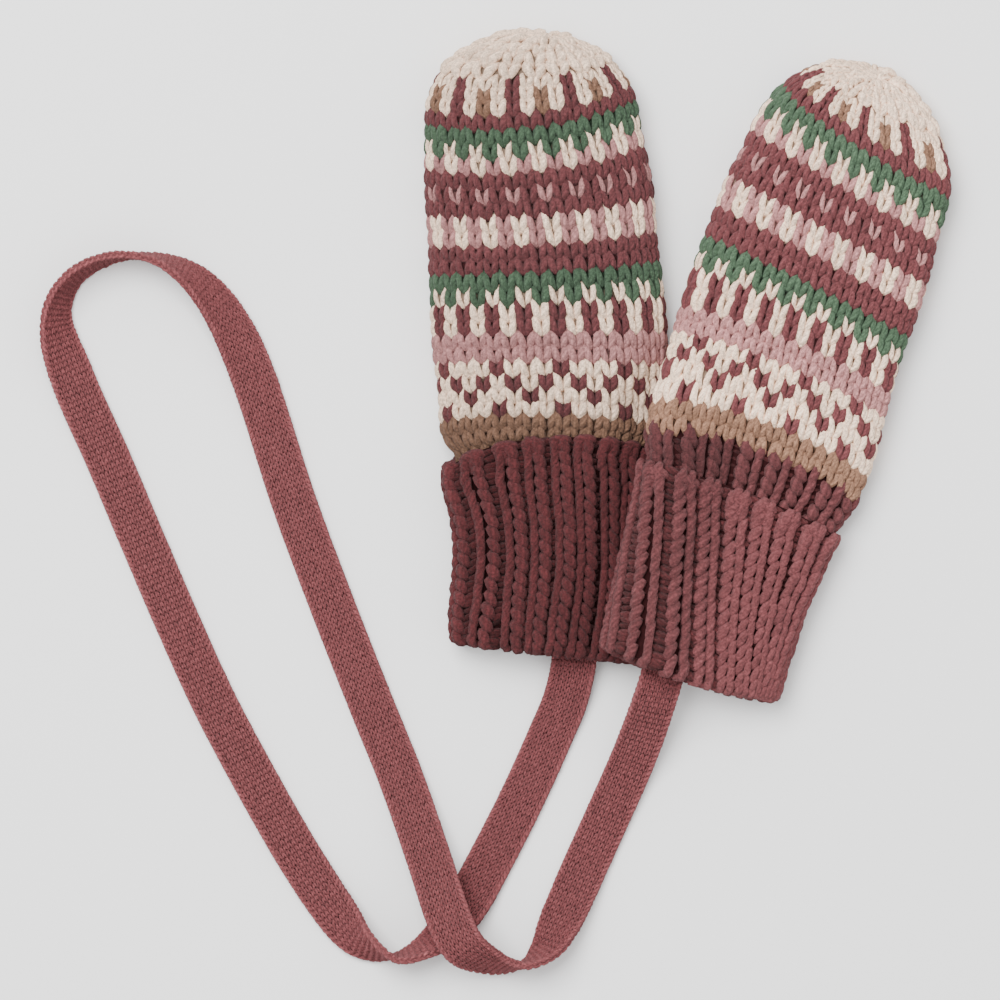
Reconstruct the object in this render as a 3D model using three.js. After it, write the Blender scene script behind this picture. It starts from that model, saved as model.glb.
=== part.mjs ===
// A pair of baby mittens laid flat, joined by one long flat knitted cord.
// Millimetres, +Z up. The origin is on the surface, under the middle of the two
// mittens, and +Y runs from the cuffs towards the fingertips. The right mitten
// lies partly on the left one's edge.
import * as THREE from 'three';

// Knitted walls
const HAND_WALL = 2.5;
const RIB_LAYER = 2.5;
const CUFF_GAP = 0.7;
const CUFF_WALL = 2 * RIB_LAYER + CUFF_GAP;
const SEAM_GAP = 0.4;
const BRIM_POCKET = 6.5;

// The 1x1 rib has a raised column of plain stitches for every two stitches cast on.
const RIBS_ROUND = 18;
const RIB_DEPTH = 0.9;
const RIB_PROFILE = [
  { share: 0.0, height: -1.0 },
  { share: 0.28, height: 0.0 },
  { share: 0.72, height: 0.0 },
];

// The cord is a flat knitted tape.
const TAPE_WIDTH = 12.4;
const TAPE_THICKNESS = 2.0;
const TAPE_CORNER = 0.6;
const TAPE_STEPS_PER_SPAN = 2;

// A mitten's section is a flattened oval, boxier under the hand than over it.
const ROUNDNESS_ABOVE = 2.4;
const ROUNDNESS_BELOW = 3.2;
const NOMINAL_HALF_WIDTH = 28;
const NOMINAL_HALF_DEPTH = 8;
const HAND_POINTS_ROUND = 40;

// Each row is one section of a mitten's inside: how far up from the cuff's fold, the
// section's middle, its half width and half depth, and the height of its centre.
const LEFT = {
  name: 'left',
  x: -36.9,
  y: -77.4,
  lean: 0,
  inside: [
    { up: -6, mid: -0.2, half: 21.2, depth: 2.9, rise: 8.0 },
    { up: 8, mid: -0.5, half: 22.0, depth: 2.8, rise: 7.9 },
    { up: 25, mid: 0.0, half: 21.3, depth: 2.8, rise: 7.9 },
    { up: 35, mid: -0.2, half: 21.7, depth: 2.8, rise: 7.9 },
    { up: 46, mid: -0.6, half: 24.0, depth: 2.9, rise: 7.9 },
    { up: 52.5, mid: -0.3, half: 24.0, depth: 3.2, rise: 7.9 },
    { up: 59, mid: 0.2, half: 28.3, depth: 4.3, rise: 7.9 },
    { up: 68, mid: 0.5, half: 28.9, depth: 5.6, rise: 7.9 },
    { up: 84, mid: -0.4, half: 29.8, depth: 6.0, rise: 8.1 },
    { up: 95, mid: -1.2, half: 29.6, depth: 6.0, rise: 8.1 },
    { up: 111, mid: -2.4, half: 28.8, depth: 6.0, rise: 8.1 },
    { up: 127, mid: -3.6, half: 28.6, depth: 5.9, rise: 8.0 },
    { up: 144, mid: -5.3, half: 27.0, depth: 5.7, rise: 7.8 },
    { up: 170, mid: -5.5, half: 27.6, depth: 5.2, rise: 5.6 },
  ],
  capStart: 144,
  capRise: 22.0,
  fold: { up: -1.0, tilt: -5.5, bow: -0.5 },
  seam: { up: 50.0, tilt: 2.0, bow: 3.0 },
  brim: { up: 52.2, tilt: 3.6, bow: 5.6 },
};

const RIGHT = {
  name: 'right',
  x: 0,
  y: -83.6,
  lean: 15.7,
  inside: [
    { up: -6, mid: 0.4, half: 20.3, depth: 2.9, rise: 8.0 },
    { up: 8, mid: -0.1, half: 20.5, depth: 2.8, rise: 7.9 },
    { up: 23, mid: -0.2, half: 21.1, depth: 2.8, rise: 7.9 },
    { up: 35, mid: 0.2, half: 22.2, depth: 2.8, rise: 7.9 },
    { up: 45, mid: 0.6, half: 23.4, depth: 3.0, rise: 7.9 },
    { up: 54, mid: 1.6, half: 26.0, depth: 3.8, rise: 7.9 },
    { up: 60, mid: 1.4, half: 28.1, depth: 4.6, rise: 7.9 },
    { up: 69, mid: 1.4, half: 28.8, depth: 5.6, rise: 7.9 },
    { up: 86, mid: 1.5, half: 28.3, depth: 6.0, rise: 8.1 },
    { up: 97, mid: 1.5, half: 28.3, depth: 6.0, rise: 8.1 },
    { up: 109, mid: 2.3, half: 28.5, depth: 6.0, rise: 8.1 },
    { up: 120, mid: 3.0, half: 28.2, depth: 6.0, rise: 8.1 },
    { up: 132, mid: 3.2, half: 27.5, depth: 5.9, rise: 8.0 },
    { up: 145, mid: 4.3, half: 26.1, depth: 5.7, rise: 7.8 },
    { up: 174, mid: 0.8, half: 22.3, depth: 5.2, rise: 5.6 },
  ],
  capStart: 145,
  capRise: 25.4,
  fold: { up: -0.7, tilt: -1.6, bow: -2.0 },
  seam: { up: 57.9, tilt: -3.3, bow: 5.1 },
  brim: { up: 49.5, tilt: -5.4, bow: 2.1 },
};

// Where the right mitten lies on the left: at each y, the x of the left mitten's edge,
// the width that is covered, the share by which that edge is pressed flat, and how high
// the right mitten is lifted.
const MEETING = [
  { y: -92, edge: -10.0, covered: 16.0, press: 0.3, lift: 10.4 },
  { y: -77, edge: -9.9, covered: 14.0, press: 0.3, lift: 10.4 },
  { y: -52, edge: -9.9, covered: 9.5, press: 0.3, lift: 10.4 },
  { y: -32, edge: -8.5, covered: 6.0, press: 0.32, lift: 10.6 },
  { y: -18, edge: -5.2, covered: 6.0, press: 0.38, lift: 9.6 },
  { y: -9, edge: -4.2, covered: 5.7, press: 0.42, lift: 7.4 },
  { y: -1, edge: -4.2, covered: 3.5, press: 0.38, lift: 5.0 },
  { y: 6, edge: -4.4, covered: 1.5, press: 0.26, lift: 2.4 },
  { y: 13, edge: -4.8, covered: 0.0, press: 0.1, lift: 0.5 },
  { y: 20, edge: -5.5, covered: 0.0, press: 0.0, lift: 0.0 },
];
const PRESS_RUN = 14;
const LIFT_START = -2;
const LIFT_RUN = 21;

// The cord's route from inside the left cuff to inside the right one: its middle line,
// how far the tape has turned about that line in degrees, and how high it is carried
// above the surface. It turns half over in each of its three bends.
const ROUTE = [
  { x: -31.2, y: -64.9, turn: -6, carried: 4.3 },
  { x: -31.0, y: -71.6, turn: -6, carried: 4.4 },
  { x: -30.9, y: -79.6, turn: -5, carried: 4.4 },
  { x: -33.2, y: -90.3, turn: 0, carried: 1.2 },
  { x: -37.7, y: -101.1, turn: 0, carried: 0.1 },
  { x: -42.5, y: -111.9, turn: 0, carried: 0 },
  { x: -47.7, y: -122.7, turn: 0, carried: 0 },
  { x: -53.3, y: -133.5, turn: 0, carried: 0 },
  { x: -59.0, y: -144.0, turn: 3, carried: 0 },
  { x: -65.0, y: -152.2, turn: 12, carried: 0 },
  { x: -71.6, y: -157.2, turn: 46, carried: 0 },
  { x: -79.2, y: -159.9, turn: 88, carried: 0 },
  { x: -87.6, y: -156.4, turn: 128, carried: 0 },
  { x: -94.0, y: -149.7, turn: 158, carried: 0 },
  { x: -104.9, y: -133.5, turn: 180, carried: 0 },
  { x: -117.3, y: -111.9, turn: 180, carried: 0 },
  { x: -128.7, y: -90.3, turn: 180, carried: 0 },
  { x: -138.5, y: -68.7, turn: 180, carried: 0 },
  { x: -147.8, y: -47.1, turn: 180, carried: 0 },
  { x: -156.9, y: -25.5, turn: 181, carried: 0 },
  { x: -166.4, y: -3.9, turn: 194, carried: 0 },
  { x: -170.9, y: 12.0, turn: 232, carried: 0 },
  { x: -166.7, y: 23.2, turn: 252, carried: 0 },
  { x: -155.8, y: 29.2, turn: 264, carried: 0 },
  { x: -143.4, y: 28.8, turn: 280, carried: 0 },
  { x: -132.7, y: 22.8, turn: 308, carried: 0 },
  { x: -124.3, y: 11.8, turn: 330, carried: 0 },
  { x: -117.0, y: -5.0, turn: 352, carried: 0 },
  { x: -107.0, y: -36.0, turn: 360, carried: 0 },
  { x: -96.9, y: -63.3, turn: 360, carried: 0 },
  { x: -86.3, y: -90.3, turn: 360, carried: 0 },
  { x: -77.6, y: -111.9, turn: 360, carried: 0.6 },
  { x: -70.0, y: -133.5, turn: 360, carried: 5.6 },
  { x: -65.2, y: -147.8, turn: 361, carried: 10.4 },
  { x: -60.7, y: -156.6, turn: 380, carried: 8.6 },
  { x: -53.8, y: -161.2, turn: 416, carried: 2.0 },
  { x: -45.6, y: -162.2, turn: 446, carried: 0 },
  { x: -38.6, y: -157.6, turn: 484, carried: 0 },
  { x: -34.3, y: -149.7, turn: 516, carried: 0 },
  { x: -27.0, y: -133.5, turn: 538, carried: 0 },
  { x: -17.3, y: -111.9, turn: 541, carried: 1.4 },
  { x: -13.0, y: -101.1, turn: 548, carried: 5.6 },
  { x: -9.3, y: -90.3, turn: 557, carried: 10.6 },
  { x: -7.2, y: -83.2, turn: 561, carried: 12.2 },
  { x: -5.2, y: -75.8, turn: 568, carried: 10.6 },
  { x: -3.6, y: -69.9, turn: 572, carried: 9.4 },
];

const COLOURS = {
  hand: '#b58c84',
  cuff: '#8b4b50',
  strap: '#96555a',
};

function radians(degrees) {
  return THREE.MathUtils.degToRad(degrees);
}

function smooth(share) {
  const t = THREE.MathUtils.clamp(share, 0, 1);
  return t * t * (3 - 2 * t);
}

// A value between two table rows, on a smooth curve through all of the column's values.
function columnAt(table, key, name, at) {
  const last = table.length - 1;
  const place = THREE.MathUtils.clamp(at, table[0][key], table[last][key]);
  let i = 0;
  while (i < last - 1 && place > table[i + 1][key]) {
    i += 1;
  }
  const slope = (k) => {
    const a = table[Math.max(k - 1, 0)];
    const b = table[Math.min(k + 1, last)];
    return (b[name] - a[name]) / (b[key] - a[key]);
  };
  const span = table[i + 1][key] - table[i][key];
  const t = (place - table[i][key]) / span;
  const value = table[i][name] * (1 + 2 * t) * (1 - t) ** 2 + table[i + 1][name] * t * t * (3 - 2 * t);
  return value + span * (slope(i) * t * (1 - t) ** 2 - slope(i + 1) * t * t * (1 - t));
}

// Where an angle falls on the section: across is -1 to 1, and height is -1 to 1.
function sectionAt(angle) {
  const c = Math.cos(angle);
  const s = Math.sin(angle);
  const power = 2 / (s >= 0 ? ROUNDNESS_ABOVE : ROUNDNESS_BELOW);
  return {
    across: Math.sign(c) * Math.abs(c) ** power,
    height: Math.sign(s) * Math.abs(s) ** power,
    middle: s * s,
  };
}

// Angles that share the section's rim out evenly, as its stitches do.
const RIM_SAMPLES = 1440;
const rimLengths = [0];
for (let i = 1; i <= RIM_SAMPLES; i += 1) {
  const a = sectionAt((2 * Math.PI * (i - 1)) / RIM_SAMPLES);
  const b = sectionAt((2 * Math.PI * i) / RIM_SAMPLES);
  const sideways = (b.across - a.across) * NOMINAL_HALF_WIDTH;
  const upward = (b.height - a.height) * NOMINAL_HALF_DEPTH;
  rimLengths.push(rimLengths[i - 1] + Math.hypot(sideways, upward));
}

function angleAtShare(share) {
  const wanted = (share - Math.floor(share)) * rimLengths[RIM_SAMPLES];
  let low = 0;
  let high = RIM_SAMPLES;
  while (high - low > 1) {
    const middle = (low + high) >> 1;
    if (rimLengths[middle] <= wanted) {
      low = middle;
    } else {
      high = middle;
    }
  }
  const part = (wanted - rimLengths[low]) / (rimLengths[high] - rimLengths[low]);
  return (2 * Math.PI * (low + part)) / RIM_SAMPLES;
}

// How far up a knitted row runs at one place round the mitten.
function rowAt(row, section) {
  const slope = Math.tan(radians(row.tilt));
  return row.up + slope * NOMINAL_HALF_WIDTH * section.across + row.bow * section.middle;
}

function meetingAt(name, y) {
  return columnAt(MEETING, 'y', name, y);
}

// The right mitten's lift and the left one's pressed edge, at a place on the surface.
function settled(mitten, u, v, height) {
  const lean = radians(mitten.lean);
  const x = mitten.x + u * Math.cos(lean) + v * Math.sin(lean);
  const y = mitten.y - u * Math.sin(lean) + v * Math.cos(lean);
  const inward = meetingAt('edge', y) - x;
  if (mitten === LEFT) {
    const share = 1 - smooth((inward - meetingAt('covered', y)) / PRESS_RUN);
    return height * (1 - meetingAt('press', y) * share);
  }
  return height + meetingAt('lift', y) * (1 - smooth((-inward - LIFT_START) / LIFT_RUN));
}

// A point of a mitten: its angle round the section, how far up, and how far out from
// the inside surface. What would reach below the surface is flat on it.
function wallPoint(mitten, angle, up, out) {
  const section = sectionAt(angle);
  const value = (name) => columnAt(mitten.inside, 'up', name, up);
  const above = Math.max(0, up - mitten.capStart) / (mitten.capRise + out);
  const cap = Math.sqrt(Math.max(0, 1 - above * above));
  const u = value('mid') + (value('half') + out) * cap * section.across;
  const height = value('rise') + (value('depth') + out) * cap * section.height;
  const rested = out > 0 ? Math.max(0, height) : height;
  return new THREE.Vector3(u, up, settled(mitten, u, up, rested));
}

// Joins rings of equal length into one skin. A stack that is not closed on itself ends
// in a tip, or in a flat cap round its first and last ring's middle.
function skin(rings, { closed = false, firstTip = null, lastTip = null } = {}) {
  const round = rings[0].length;
  const points = rings.flat();
  const faces = [];
  const spans = closed ? rings.length : rings.length - 1;
  for (let r = 0; r < spans; r += 1) {
    const here = r * round;
    const next = ((r + 1) % rings.length) * round;
    for (let i = 0; i < round; i += 1) {
      const j = (i + 1) % round;
      faces.push(here + i, here + j, next + j);
      faces.push(here + i, next + j, next + i);
    }
  }
  if (!closed) {
    const start = points.push(firstTip) - 1;
    const end = points.push(lastTip) - 1;
    const lastRing = (rings.length - 1) * round;
    for (let i = 0; i < round; i += 1) {
      const j = (i + 1) % round;
      faces.push(start, j, i);
      faces.push(end, lastRing + i, lastRing + j);
    }
  }
  const geometry = new THREE.BufferGeometry();
  const numbers = points.flatMap((p) => [p.x, p.y, p.z]);
  geometry.setAttribute('position', new THREE.Float32BufferAttribute(numbers, 3));
  geometry.setIndex(faces);
  geometry.computeVertexNormals();
  return geometry;
}

function knitMesh(name, geometry, colour) {
  const material = new THREE.MeshStandardMaterial({ color: colour, roughness: 0.95, metalness: 0 });
  const mesh = new THREE.Mesh(geometry, material);
  mesh.name = name;
  return mesh;
}

// The hand: a tube of stranded knitting, open at the seam and closed in a round top.
const HAND_SHARES_OUT = [0, 0.02, 0.05, 0.09, 0.15, 0.25, 0.37, 0.5, 0.63, 0.76, 0.88, 1];
const HAND_SHARES_IN = [1, 0.8, 0.6, 0.4, 0.2, 0.12, 0.06, 0.02, 0];
const CAP_ANGLES_OUT = [14, 28, 42, 55, 67, 78];
const CAP_ANGLES_IN = [72, 54, 36, 18];

function handGeometry(mitten) {
  const angles = Array.from({ length: HAND_POINTS_ROUND }, (_, i) => angleAtShare(i / HAND_POINTS_ROUND));
  const tubeRing = (share, out) => angles.map((angle) => {
    const start = rowAt(mitten.seam, sectionAt(angle)) + SEAM_GAP;
    return wallPoint(mitten, angle, THREE.MathUtils.lerp(start, mitten.capStart, share), out);
  });
  const capRing = (degrees, out) => {
    const up = mitten.capStart + (mitten.capRise + out) * Math.sin(radians(degrees));
    return angles.map((angle) => wallPoint(mitten, angle, up, out));
  };
  const tip = (out) => wallPoint(mitten, 0, mitten.capStart + mitten.capRise + out, out);
  const inner = [
    ...CAP_ANGLES_IN.map((degrees) => capRing(degrees, 0)),
    ...HAND_SHARES_IN.map((share) => tubeRing(share, 0)),
  ];
  const outer = [
    ...HAND_SHARES_OUT.map((share) => tubeRing(share, HAND_WALL)),
    ...CAP_ANGLES_OUT.map((degrees) => capRing(degrees, HAND_WALL)),
  ];
  return skin([...inner, ...outer].reverse(), { firstTip: tip(HAND_WALL), lastTip: tip(0) });
}

// The cuff: a ribbed tube that is folded up over itself, one solid up to the pocket
// under its brim. Each ring's place is a row of the knitting, a distance up from it,
// and how far out it is; ribbed rings follow the ribs.
function cuffRings(mitten) {
  const seamToFold = [1, 0.8, 0.55, 0.3, 0.1];
  const foldToBrim = [0.06, 0.2, 0.4, 0.6, 0.8, 0.93];
  const turned = CUFF_WALL / 2;
  const foldTurns = [150, 110, 70, 30];
  const rings = [];
  seamToFold.forEach((share) => {
    rings.push({ from: 'fold', to: 'seam', share, add: 0, out: 0, ribbed: 0 });
  });
  foldTurns.forEach((degrees) => rings.push({
    from: 'fold',
    to: 'fold',
    share: 0,
    add: turned * (1 - Math.sin(radians(degrees))),
    out: turned * (1 + Math.cos(radians(degrees))),
    ribbed: degrees < 90 ? 0.7 : 0,
  }));
  foldToBrim.forEach((share) => {
    rings.push({ from: 'fold', to: 'brim', share, add: 0, out: CUFF_WALL, ribbed: 1 });
  });
  rings.push({ from: 'brim', to: 'brim', share: 0, add: -0.7, out: CUFF_WALL - 0.1, ribbed: 1 });
  const brimTop = CUFF_WALL - RIB_LAYER / 2;
  rings.push({ from: 'brim', to: 'brim', share: 0, add: 0, out: brimTop, ribbed: 0.3 });
  const pocketOut = RIB_LAYER + CUFF_GAP;
  [-0.7, -3.5, -BRIM_POCKET].forEach((add) => {
    rings.push({ from: 'brim', to: 'brim', share: 0, add, out: pocketOut, ribbed: 0 });
  });
  const seamAdds = mitten.seam.up > mitten.brim.up ? [-BRIM_POCKET, -3.5, 0.5] : [-BRIM_POCKET];
  seamAdds.forEach((add) => {
    rings.push({ from: 'brim', to: 'brim', share: 0, add, out: RIB_LAYER, ribbed: 0.5 });
  });
  if (mitten.seam.up > mitten.brim.up) {
    rings.push({ from: 'seam', to: 'seam', share: 0, add: -3, out: RIB_LAYER, ribbed: 0.5 });
  }
  rings.push({ from: 'seam', to: 'seam', share: 0, add: 0, out: RIB_LAYER, ribbed: 0 });
  return rings;
}

function cuffGeometry(mitten) {
  const places = [];
  for (let rib = 0; rib < RIBS_ROUND; rib += 1) {
    RIB_PROFILE.forEach(({ share, height }) => {
      places.push({ angle: angleAtShare((rib + share) / RIBS_ROUND), height });
    });
  }
  const rings = cuffRings(mitten).map((ring) => places.map(({ angle, height }) => {
    const section = sectionAt(angle);
    const low = rowAt(mitten[ring.from], section);
    const high = rowAt(mitten[ring.to], section);
    const showing = smooth((Math.sin(angle) + 0.95) / 0.6);
    const out = ring.out + ring.ribbed * RIB_DEPTH * height * showing;
    return wallPoint(mitten, angle, THREE.MathUtils.lerp(low, high, ring.share) + ring.add, out);
  }));
  return skin(rings.reverse(), { closed: true });
}

// A smooth curve through the route's rows, at any place along their count.
function routeAt(along) {
  const last = ROUTE.length - 1;
  const i = Math.min(Math.floor(along), last - 1);
  const t = along - i;
  const value = (name) => {
    const p1 = ROUTE[i][name];
    const p2 = ROUTE[i + 1][name];
    const p0 = i > 0 ? ROUTE[i - 1][name] : 2 * p1 - p2;
    const p3 = i + 2 <= last ? ROUTE[i + 2][name] : 2 * p2 - p1;
    const bend = (2 * p0 - 5 * p1 + 4 * p2 - p3) * t * t + (3 * p1 - p0 - 3 * p2 + p3) * t * t * t;
    return p1 + 0.5 * ((p2 - p0) * t + bend);
  };
  const turn = radians(value('turn'));
  const standing = (TAPE_WIDTH * Math.abs(Math.sin(turn)) + TAPE_THICKNESS * Math.abs(Math.cos(turn))) / 2;
  const z = standing + Math.max(0, value('carried'));
  return { middle: new THREE.Vector3(value('x'), value('y'), z), turn };
}

// The cord: its flat section set across the route at each step, turned with it.
function strapGeometry() {
  const steps = (ROUTE.length - 1) * TAPE_STEPS_PER_SPAN;
  const stations = Array.from({ length: steps + 1 }, (_, i) => routeAt(i / TAPE_STEPS_PER_SPAN));
  const w = TAPE_WIDTH / 2;
  const t = TAPE_THICKNESS / 2;
  const outline = [
    [w, -t + TAPE_CORNER],
    [w, t - TAPE_CORNER],
    [w - TAPE_CORNER, t],
    [-w + TAPE_CORNER, t],
    [-w, t - TAPE_CORNER],
    [-w, -t + TAPE_CORNER],
    [-w + TAPE_CORNER, -t],
    [w - TAPE_CORNER, -t],
  ];
  const up = new THREE.Vector3(0, 0, 1);
  const rings = stations.map(({ middle, turn }, i) => {
    const before = stations[Math.max(i - 1, 0)].middle;
    const after = stations[Math.min(i + 1, steps)].middle;
    const ahead = after.clone().sub(before).normalize();
    const level = up.clone().cross(ahead).normalize();
    const raised = ahead.clone().cross(level);
    const wide = level.clone().multiplyScalar(Math.cos(turn)).addScaledVector(raised, Math.sin(turn));
    const thick = raised.clone().multiplyScalar(Math.cos(turn)).addScaledVector(level, -Math.sin(turn));
    return outline.map(([a, b]) => {
      const point = middle.clone().addScaledVector(wide, a).addScaledVector(thick, b);
      point.z = Math.max(0, point.z);
      return point;
    });
  });
  return skin(rings, { firstTip: stations[0].middle, lastTip: stations[steps].middle });
}

function mittenGroup(mitten) {
  const group = new THREE.Group();
  group.add(knitMesh(`${mitten.name}_hand`, handGeometry(mitten), COLOURS.hand));
  group.add(knitMesh(`${mitten.name}_cuff`, cuffGeometry(mitten), COLOURS.cuff));
  group.position.set(mitten.x, mitten.y, 0);
  group.rotation.z = -radians(mitten.lean);
  return group;
}

const mittens = new THREE.Group();
mittens.add(mittenGroup(LEFT));
mittens.add(mittenGroup(RIGHT));
mittens.add(knitMesh('strap', strapGeometry(), COLOURS.strap));

export default mittens;
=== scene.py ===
"""A pair of knitted baby mittens and the flat knitted cord that joins them, stitch by stitch.

Every length in the tables is in millimetres, as in the part's source, and every mesh is in metres.
"""

import math

import bpy
import numpy as np
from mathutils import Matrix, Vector


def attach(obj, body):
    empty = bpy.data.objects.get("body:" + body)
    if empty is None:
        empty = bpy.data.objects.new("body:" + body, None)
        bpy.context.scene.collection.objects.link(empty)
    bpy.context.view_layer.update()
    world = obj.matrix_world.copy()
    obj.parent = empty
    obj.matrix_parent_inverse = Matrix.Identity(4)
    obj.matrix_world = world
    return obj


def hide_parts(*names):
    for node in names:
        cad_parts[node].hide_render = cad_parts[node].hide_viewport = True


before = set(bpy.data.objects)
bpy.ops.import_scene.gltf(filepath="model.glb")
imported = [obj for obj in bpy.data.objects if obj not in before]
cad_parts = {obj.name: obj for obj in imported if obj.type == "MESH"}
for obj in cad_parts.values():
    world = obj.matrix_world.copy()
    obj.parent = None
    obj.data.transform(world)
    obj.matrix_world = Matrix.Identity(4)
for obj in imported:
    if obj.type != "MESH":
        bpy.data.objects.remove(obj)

bl_info = {
    "name": "Baby mittens on a cord",
    "version": (1, 0, 0),
    "blender": (4, 5, 0),
    "location": "3D View > Sidebar > Mittens",
    "description": "Knits a pair of baby mittens, their folded rib cuffs and the cord that joins them",
    "category": "Object",
}

MM = 0.001

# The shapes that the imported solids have, in millimetres.
HAND_WALL = 2.5
RIB_LAYER = 2.5
CUFF_GAP = 0.7
FOLD_RADIUS = (2 * RIB_LAYER + CUFF_GAP) / 2
TAPE_WIDTH = 12.4
TAPE_THICKNESS = 2.0
ROUNDNESS_ABOVE = 2.4
ROUNDNESS_BELOW = 3.2
NOMINAL_HALF_WIDTH = 28
NOMINAL_HALF_DEPTH = 8
PRESS_RUN = 14
LIFT_START = -2
LIFT_RUN = 21
# A lowest height that holds no point of a surface up off the table.
NO_TABLE = -9
# The length in which the plies of the yarn turn once, and of the cord's finer yarn.
PLY_TURN = 12
FINE_PLY_TURN = 4
# The width of a stitch whose yarn has its full thickness.
FULL_STITCH = 3.9
# How many points a cloth has round, and how far out of a cuff's surface its yarns lie.
CLOTH_ROUND = 72
RIB_DEPTH = -1.5
# How light the cloth behind the stitches is against its yarns, as painted shade between the
# stitches, then the purl bars, as painted shade in the valleys between ribs, and the cuff's inner
# layer where it shows above the brim, as painted shade under the turn-up.
HAND_CLOTH_LIGHT = 0.3
CUFF_CLOTH_LIGHT = 0.13
CORD_CLOTH_LIGHT = 0.15
PURL_LIGHT = 0.56
INNER_LAYER_LIGHT = 0.75
# Where round a cuff its ribs start to darken with painted shade, and over how many of them.
DIM_START = 3.6
DIM_RUN = 2.6
CORD_SEED = 5

# Each row of a mitten's inside: how far up from the fold, the section's middle, its half
# width, its half depth and the height of its centre.
# A row of rows: course, how far up at the sides, its tilt in degrees and its bow.
# A row of wale offsets: course, how far right of the middle the pattern's first wale is.
# Spread is how much wider the wales are in the middle than on average.
# A row of ribs: how many rib widths from the right edge a rib's middle runs, at the brim,
# half way down and at the fold. The sweep is how far the ribs bend left round the fold, and
# the edge is how far below the brim the cast-on loops lie. Where bead is more, a rib's
# plump leg is more like a string of beads. Light is painted light and shade: how much lighter
# or darker a hand's yarns are painted than the dyed colours, at its first course and from its
# seventh up. Dim is how much darker the cuff's left ribs are painted than its right ones, as
# painted shade. The cuff's yarn is its rose, painted darker on the left cuff and lighter on the
# right as painted shade and light.
LEFT = {
    "name": "left",
    "x": -36.9,
    "y": -77.4,
    "lean": 0.0,
    "inside": np.array([
        (-6, -0.2, 21.2, 2.9, 8.0),
        (8, -0.5, 22.0, 2.8, 7.9),
        (25, 0.0, 21.3, 2.8, 7.9),
        (35, -0.2, 21.7, 2.8, 7.9),
        (46, -0.6, 24.0, 2.9, 7.9),
        (52.5, -0.3, 24.0, 3.2, 7.9),
        (59, 0.2, 28.3, 4.3, 7.9),
        (68, 0.5, 28.9, 5.6, 7.9),
        (84, -0.4, 29.8, 6.0, 8.1),
        (95, -1.2, 29.6, 6.0, 8.1),
        (111, -2.4, 28.8, 6.0, 8.1),
        (127, -3.6, 28.6, 5.9, 8.0),
        (144, -5.3, 27.0, 5.7, 7.8),
        (170, -5.5, 27.6, 5.2, 5.6),
    ]),
    "cap_start": 144,
    "cap_rise": 22.0,
    "fold": (-1.0, -5.5, -0.5),
    "seam": (50.0, 2.0, 3.0),
    "brim": (52.2, 3.6, 5.6),
    "first": 0,
    "rows": np.array([
        (-2.2, 43.2, 1.5, 3.2),
        (-0.2, 50.6, 1.5, 3.0),
        (2.8, 61.4, -1.5, 2.4),
        (4.8, 69.6, -0.3, 1.3),
        (6.8, 77.6, -0.2, 0.8),
        (8.8, 85.7, 1.1, 0.1),
        (10.8, 94.2, 2.9, -0.3),
        (12.8, 103.4, 3.6, -1.1),
        (14.8, 111.2, 3.8, -1.6),
        (19.8, 133.1, 6.4, -3.7),
        (23.8, 149.8, 6.9, -4.7),
        (26, 158.4, 6.9, -4.7),
    ]),
    "spread": 0.14,
    "ribs": np.array([
        (0.0, -0.1, 0.1),
        (0.7, 0.5, 0.8),
        (1.5, 1.25, 1.6),
        (2.38, 2.02, 2.47),
        (3.3, 3.01, 3.43),
        (4.16, 3.9, 4.36),
        (5.11, 4.92, 5.2),
        (6.16, 5.95, 6.11),
        (7.5, 7.14, 7.45),
        (8.66, 8.5, 8.66),
    ]),
    "rope_side": -1,
    "bead": 1.0,
    "sweep": 0.0,
    "edge": 0.1,
    "wales": np.array([(0, 2.5), (9, 2.2), (15, 2.7), (18, 1.6), (20.5, 0.8), (24, -0.7), (32, -2.0)]),
    "pole": (0.16, 0.95, 0.24),
    "light": (0.62, 0.92),
    "cuff_yarn": "deep_rose",
    "dim": 0.0,
    "seed": 11,
}

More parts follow.
